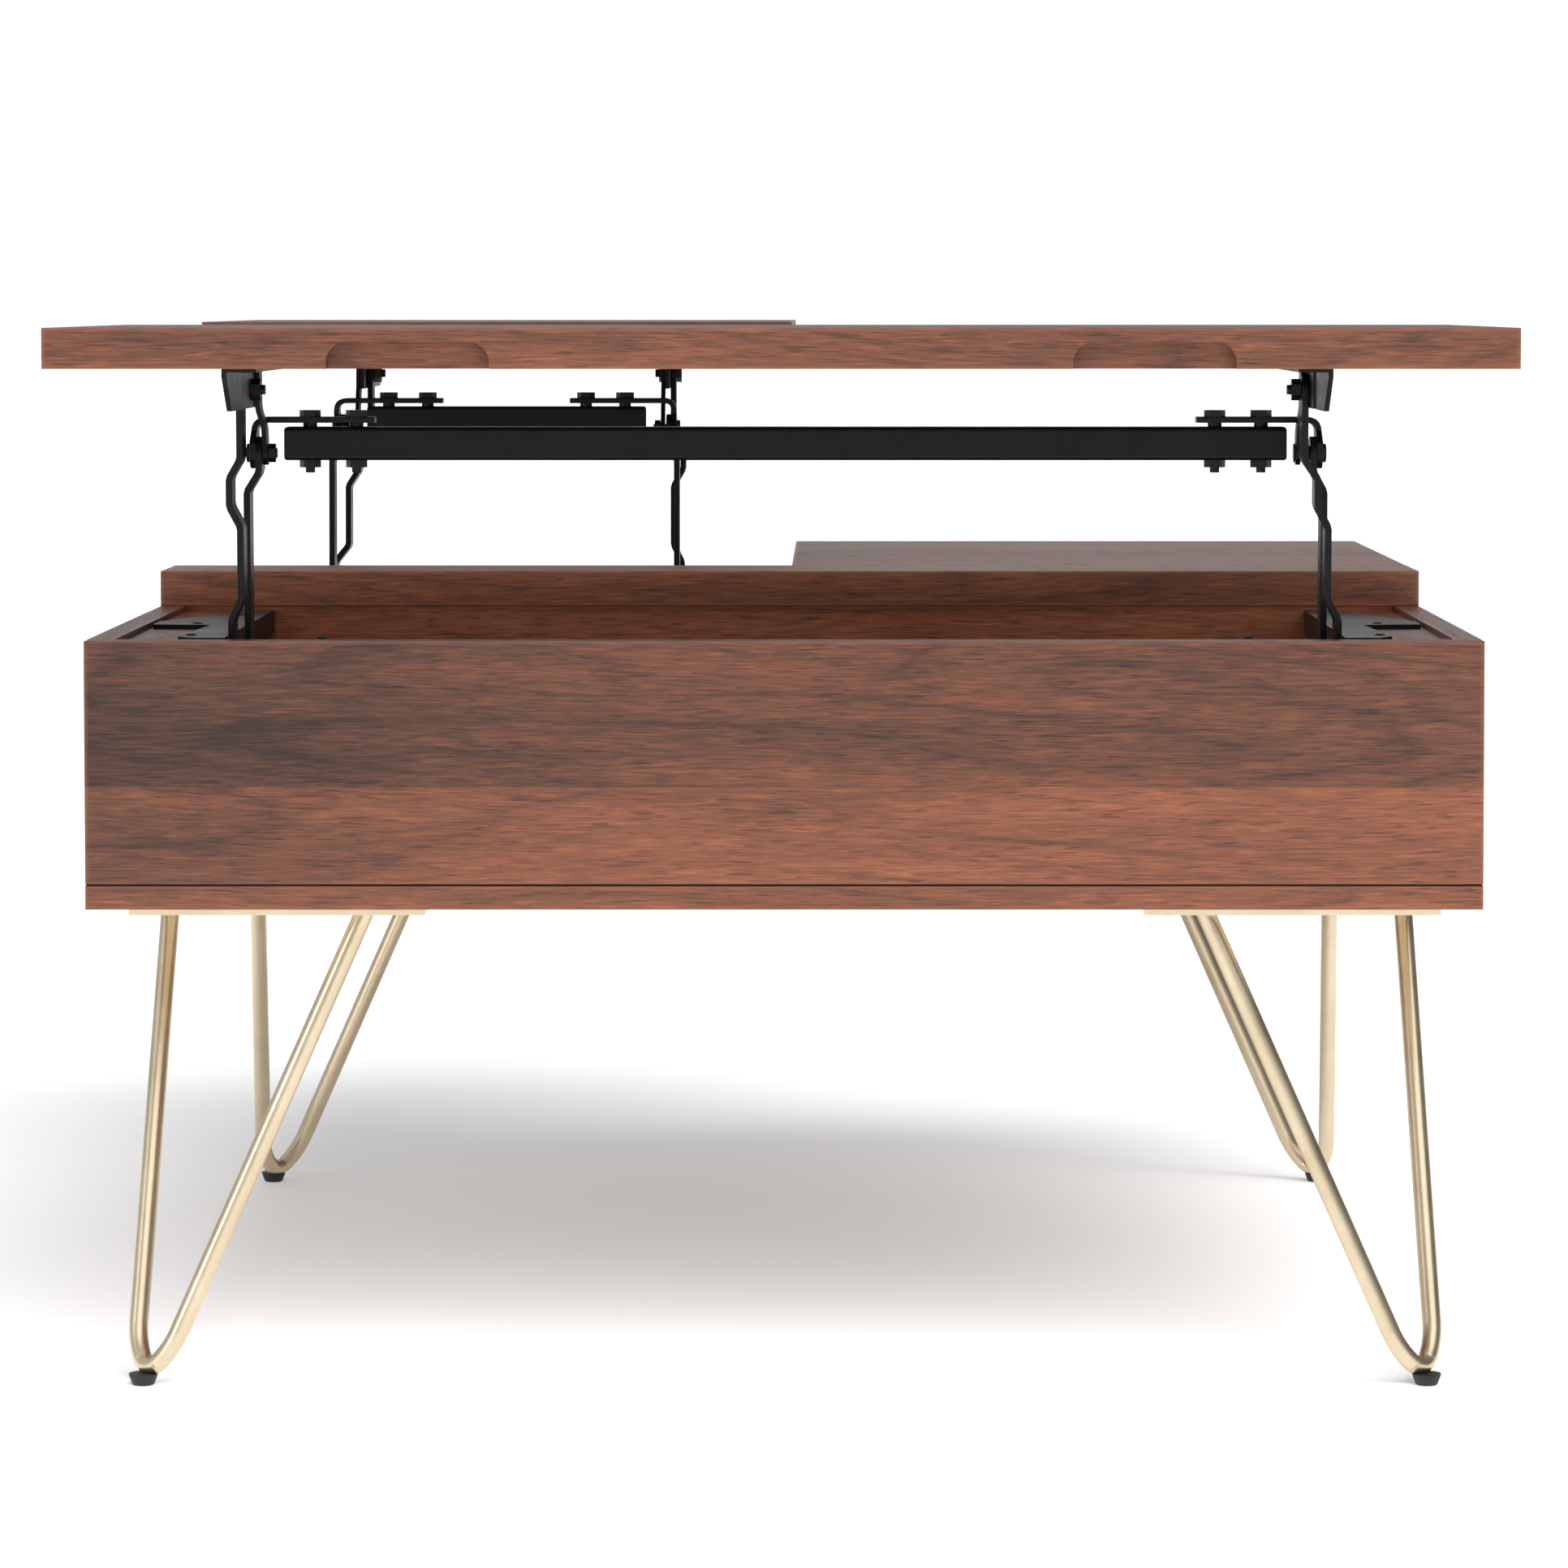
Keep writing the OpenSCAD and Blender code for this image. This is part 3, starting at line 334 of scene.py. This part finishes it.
# the broad dark area on the front: its middle, its reach along each axis, its depth
front_darker_area = ((-0.41, -0.457, rim - 0.080), (0.27, 0.4, 0.125), 0.16)
WOOD = {
    # node: (grain, across, seams, tones, patch, darker_area)
    "front_panel": (X, Z, panel_seams, [0.02, -0.09, -0.08], 0.25, front_darker_area),
    "back_panel": (X, Z, panel_seams, boards(3, 0.05), 0.5, None),
    "left_panel": (Y, Z, panel_seams, boards(3, 0.05), 0.5, None),
    "right_panel": (Y, Z, panel_seams, boards(3, 0.05), 0.5, None),
    "bottom_board": (X, Y, floor_seams, boards(5, 0.04, 0.02), 0.3, None),
    # painted light: the front divider is toned lighter, its upper board most, to stand for
    # light reaching its face inside the open front store
    "front_divider": (X, Z, hidden_seam, [0.06, 0.18], 0.3, None),
    "rear_divider": (X, Z, hidden_seam, [0.0, 0.0], 0.5, None),
    "centre_divider": (Y, Z, hidden_seam, [0.0, 0.0], 0.5, None),
    "centre_strip": (X, Y, [], [0.05], 0.3, None),
    "fixed_top_panel": (X, Y, lid_seams("fixed_top_panel"), boards(3, 0.05), 0.4, None),
    "front_lid": (X, Y, lid_seams("front_lid"), boards(3, 0.05, -0.08), 0.4, None),
    "rear_lid": (X, Y, lid_seams("rear_lid"), boards(3, 0.05, -0.06), 0.4, None),
    "front_left_rail": (Y, X, [], [0.0], 0.3, None),
    "front_right_rail": (Y, X, [], [0.0], 0.3, None),
    "rear_outer_rail": (Y, X, [], [0.0], 0.3, None),
    "rear_inner_rail": (Y, X, [], [0.0], 0.3, None),
}
for name, (grain, across, seams, tones, patch, darker_area) in WOOD.items():
    mat = wood(name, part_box(name), grain, across, seams, tones, patch, darker_area)
    wear(name, mat, WOOD_BEVEL)

coat = steel("black_powder_coat", (0.0045, 0.0045, 0.0048), 0.40, 0.35)
oxide = steel("black_fasteners", (0.0075, 0.0075, 0.008), 0.34, 0.15)
plating = champagne("champagne_plating", 0.33)
feet = rubber("black_rubber_caps")
for name, o in nodes.items():
    if name in WOOD:
        continue
    if name.startswith("leg_rod"):
        wear(name, plating, 0)
    elif name.startswith("leg_plate") or name == "leg_screws":
        wear(name, plating, METAL_BEVEL)
    elif name in ("foot_caps", "lid_bumpers"):
        wear(name, feet, METAL_BEVEL)
    elif "bolts" in name or "screws" in name or "studs" in name:
        wear(name, oxide, METAL_BEVEL)
    else:
        wear(name, coat, METAL_BEVEL)
for name, o in nodes.items():
    o.data.shade_smooth()
    wn = o.modifiers.new("normals", "WEIGHTED_NORMAL")
    wn.keep_sharp = True

# ---- floor, room and lights ----
FLOOR_HALF = 60.0
FLOOR_GREY = 0.6
FLOOR_GLOW = 0.27
corners = [(x * FLOOR_HALF, y * FLOOR_HALF, 0) for x, y in ((-1, -1), (1, -1), (1, 1), (-1, 1))]
floor = bpy.data.meshes.new("floor")
floor.from_pydata(corners, [], [(0, 1, 2, 3)])
floor_obj = bpy.data.objects.new("floor", floor)
bpy.context.scene.collection.objects.link(floor_obj)
ft = Tree("studio_floor")
ft.bsdf.inputs["Roughness"].default_value = 0.7
ft.bsdf.inputs["Specular IOR Level"].default_value = 0.15
ft.bsdf.inputs["Base Color"].default_value = (FLOOR_GREY, FLOOR_GREY, FLOOR_GREY, 1)
ft.bsdf.inputs["Emission Color"].default_value = (1, 1, 1, 1)
ft.bsdf.inputs["Emission Strength"].default_value = FLOOR_GLOW
floor.materials.append(ft.mat)

world = bpy.data.worlds.new("studio")
bpy.context.scene.world = world
world.use_nodes = True
wt = world.node_tree
seen = wt.nodes["Background"]
seen.inputs[0].default_value = (1, 1, 1, 1)
seen.inputs[1].default_value = 1.02
# the room that the table reflects: brightest overhead, dimmer low down and to the right
room = wt.nodes.new("ShaderNodeBackground")
way = wt.nodes.new("ShaderNodeTexCoord")
parts = wt.nodes.new("ShaderNodeSeparateXYZ")
wt.links.new(way.outputs["Generated"], parts.inputs[0])
both = wt.nodes.new("ShaderNodeMath")
both.operation = "MULTIPLY"
# from and to along the axis, then the brightness at each end
ROOM_FADES = ((Z, (-0.3, 0.9, 0.42, 0.72)), (X, (-0.9, 0.7, 1.25, 0.35)))
for slot, (axis, fade) in enumerate(ROOM_FADES):
    ease = wt.nodes.new("ShaderNodeMapRange")
    wt.links.new(parts.outputs[axis], ease.inputs[0])
    for i, value in enumerate(fade):
        ease.inputs[1 + i].default_value = value
    wt.links.new(ease.outputs[0], both.inputs[slot])
wt.links.new(both.outputs[0], room.inputs[1])
ray = wt.nodes.new("ShaderNodeLightPath")
pick = wt.nodes.new("ShaderNodeMixShader")
wt.links.new(ray.outputs["Is Camera Ray"], pick.inputs[0])
wt.links.new(room.outputs[0], pick.inputs[1])
wt.links.new(seen.outputs[0], pick.inputs[2])
wt.links.new(pick.outputs[0], wt.nodes["World Output"].inputs[0])


def aim(o, place, target):
    """Put a light at place, facing target."""
    o.location = place
    o.rotation_euler = (Vector(target) - Vector(place)).to_track_quat("-Z", "Y").to_euler()
    bpy.context.scene.collection.objects.link(o)
    return o


def area(name, place, target, size, power):
    light = bpy.data.lights.new(name, "AREA")
    light.shape = "RECTANGLE"
    light.size, light.size_y = size
    light.energy = power
    return aim(bpy.data.objects.new(name, light), place, target)


def sun(name, place, strength, spread):
    light = bpy.data.lights.new(name, "SUN")
    light.energy = strength
    light.angle = math.radians(spread)
    return aim(bpy.data.objects.new(name, light), place, (0, 0, 0))


sun("key", (1.3, -2.9, 3.2), 1.12, 60)
front_fill = area("front_fill", (0.9, -4.2, 0.6), (0, 0, 0.45), (2.4, 0.7), 42)
front_fill.visible_glossy = False
# a low light behind the table puts the soft sheen on the level tops
sheen = area("sheen", (0.2, 3.6, 1.3), (0, 0, 0.5), (4.0, 1.2), 10)
sheen.visible_camera = False
area("left_softbox", (-3.4, -2.6, 0.7), (0, 0, 0.3), (1.4, 2.4), 38)
# a second sun that only the floor receives sets how deep the soft shadow is
floor_sun = sun("floor_sun", (0.9, -2.0, 1.9), 5.4, 52)
lit = bpy.data.collections.new("lit_by_floor_sun")
lit.objects.link(floor_obj)
floor_sun.light_linking.receiver_collection = lit

# ---- camera ----
LENS = 127.611
PITCH_DOWN = 2.9028
CAMERA_AT = (0.0356, -4.0754, 0.7186)
SHIFT_X, SHIFT_Y = -0.0349, -0.13
cam_data = bpy.data.cameras.new("camera")
camera = bpy.data.objects.new("camera", cam_data)
bpy.context.scene.collection.objects.link(camera)
bpy.context.scene.camera = camera
cam_data.sensor_width = 36
cam_data.lens = LENS
cam_data.clip_end = 200
camera.location = CAMERA_AT
camera.rotation_euler = (math.radians(90 - PITCH_DOWN), 0, 0)
cam_data.shift_x = SHIFT_X
cam_data.shift_y = SHIFT_Y

bpy.context.scene.view_settings.view_transform = "Standard"
